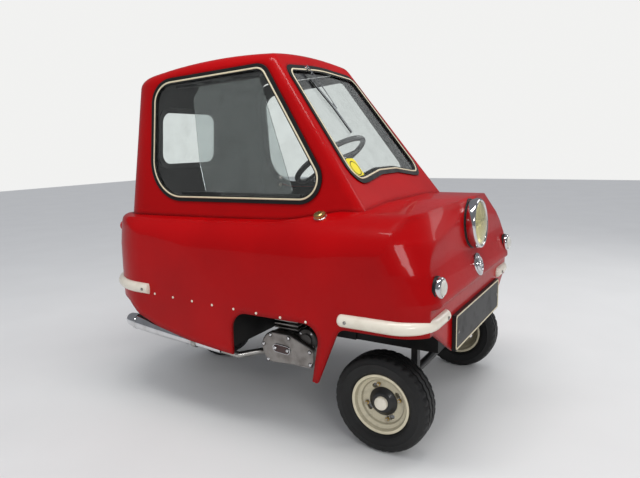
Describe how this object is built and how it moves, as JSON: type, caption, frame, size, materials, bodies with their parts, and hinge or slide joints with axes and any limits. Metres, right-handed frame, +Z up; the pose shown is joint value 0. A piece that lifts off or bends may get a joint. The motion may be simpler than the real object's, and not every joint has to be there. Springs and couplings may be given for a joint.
{
  "type": "three wheeled car",
  "caption": "Tiny single-seat three-wheeled car with a hollow moulded body, one side door, steered front wheels and a single rear wheel.",
  "frame": {"origin": "on the ground under the centre of the car's overall box", "axes": "-Y towards the nose, +X towards the driver's left, +Z up"},
  "size_m": [0.9936, 1.3599, 1.2279],
  "materials": {
    "body_red": "gloss",
    "tub_black": "satin",
    "clear_glass": "gloss",
    "black_rubber": "satin",
    "chrome": "polished",
    "headlamp_glass": "gloss",
    "lamp_lens": "gloss",
    "cream_bumper": "satin",
    "red_lens": "gloss",
    "plate_black": "gloss",
    "brass_cap": "satin",
    "seat_black": "satin",
    "steel_black": "satin",
    "engine_alloy": "satin",
    "tyre_black": "matt",
    "rim_cream": "gloss",
    "wheel_grey": "satin",
    "steel": "satin"
  },
  "bodies": {
    "car": {"body_shell": "body_red", "tub": "tub_black", "dash": "tub_black", "windscreen_glass": "clear_glass", "right_window_glass": "clear_glass", "rear_window_glass": "clear_glass", "sliding_pane": "clear_glass", "pane_rails": "chrome", "windscreen_rubber": "black_rubber", "right_window_rubber": "black_rubber", "rear_window_rubber": "black_rubber", "headlamp_rim": "chrome", "headlamp_lens": "headlamp_glass", "side_lamps": "lamp_lens", "nose_boss": "chrome", "number_plate": "plate_black", "front_bumpers": "cream_bumper", "rear_bumpers": "cream_bumper", "rear_lamps": "red_lens", "filler_cap": "brass_cap", "wiper": "steel_black", "seat": "seat_black", "front_axle": "steel_black", "rear_fork": "steel_black", "steering_column": "steel_black", "engine": "engine_alloy", "exhaust_pipe": "chrome", "silencer": "chrome", "hinge_pins": "steel", "controls": "steel_black"},
    "wheel_front_left": {"tyre_front_left": "tyre_black", "rim_front_left": "rim_cream"},
    "wheel_front_right": {"tyre_front_right": "tyre_black", "rim_front_right": "rim_cream"},
    "wheel_rear": {"tyre_rear": "tyre_black", "rim_rear": "rim_cream"},
    "steer_knuckle_left": {"knuckle_left": "steel"},
    "steer_knuckle_right": {"knuckle_right": "steel"},
    "steering": {"steering_wheel": "wheel_grey"},
    "door": {"door_panel": "body_red", "door_window_glass": "clear_glass", "door_window_rubber": "black_rubber", "door_handle": "chrome", "hinge_leaves": "steel"}
  },
  "joints": [
    {"name": "steer_left", "type": "hinge", "parent": "car", "child": "steer_knuckle_left", "pos_m": [0.292, -0.49, 0.15], "axis": [0, 0, 1], "range_deg": [-28, 28]},
    {"name": "steer_right", "type": "hinge", "parent": "car", "child": "steer_knuckle_right", "pos_m": [-0.292, -0.49, 0.15], "axis": [0, 0, 1], "range_deg": [-28, 28]},
    {"name": "steering_turn", "type": "hinge", "parent": "car", "child": "steering", "pos_m": [0, -0.105, 0.85], "axis": [0, 0.5592, 0.829], "range_deg": [-112, 112]},
    {"name": "spin_front_left", "type": "hinge", "parent": "steer_knuckle_left", "child": "wheel_front_left", "pos_m": [0.373, -0.49, 0.15], "axis": [1, 0, 0], "continuous": true},
    {"name": "spin_front_right", "type": "hinge", "parent": "steer_knuckle_right", "child": "wheel_front_right", "pos_m": [-0.373, -0.49, 0.15], "axis": [1, 0, 0], "continuous": true},
    {"name": "spin_rear", "type": "hinge", "parent": "car", "child": "wheel_rear", "pos_m": [0, 0.47, 0.15], "axis": [1, 0, 0], "continuous": true},
    {"name": "door_swing", "type": "hinge", "parent": "car", "child": "door", "pos_m": [0.485, 0.47, 0.465], "axis": [0, 0, 1], "range_deg": [0, 80]}
  ],
  "couplings": [
    {"joint": "steer_right", "follows": "steer_left", "ratio": 1},
    {"joint": "steering_turn", "follows": "steer_left", "ratio": 4}
  ]
}
